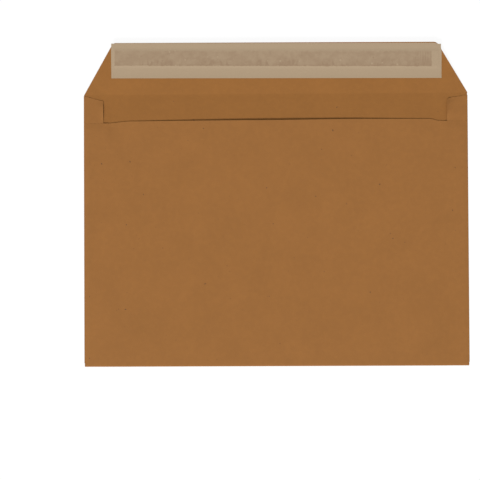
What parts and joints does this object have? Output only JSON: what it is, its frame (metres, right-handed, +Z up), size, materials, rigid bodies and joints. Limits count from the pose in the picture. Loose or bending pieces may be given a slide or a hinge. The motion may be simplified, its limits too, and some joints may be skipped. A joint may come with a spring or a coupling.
{
  "type": "kraft envelope",
  "caption": "Plain kraft paper wallet envelope with an open seal flap, side seams and a peel-and-seal strip under its release liner.",
  "frame": {"origin": "middle of the envelope's outline with its flap open, on the surface that the front panel lies on", "axes": "+X across the envelope, +Y from the pocket towards the open seal flap, +Z up out of the front panel"},
  "size_m": [0.324, 0.273, 0.0047],
  "materials": {
    "kraft_paper": "matt brown kraft paper with fine fibre flecks",
    "seal_adhesive": "pale tacky adhesive, uneven at its edges",
    "liner_paper": "thin tan release paper with a soft sheen",
    "seam_gum": "dried translucent gum"
  },
  "bodies": {
    "root": {"envelope_sheet": "kraft_paper", "adhesive_band": "seal_adhesive", "release_liner": "liner_paper", "seam_glue_left": "seam_gum", "seam_glue_right": "seam_gum"}
  },
  "joints": []
}
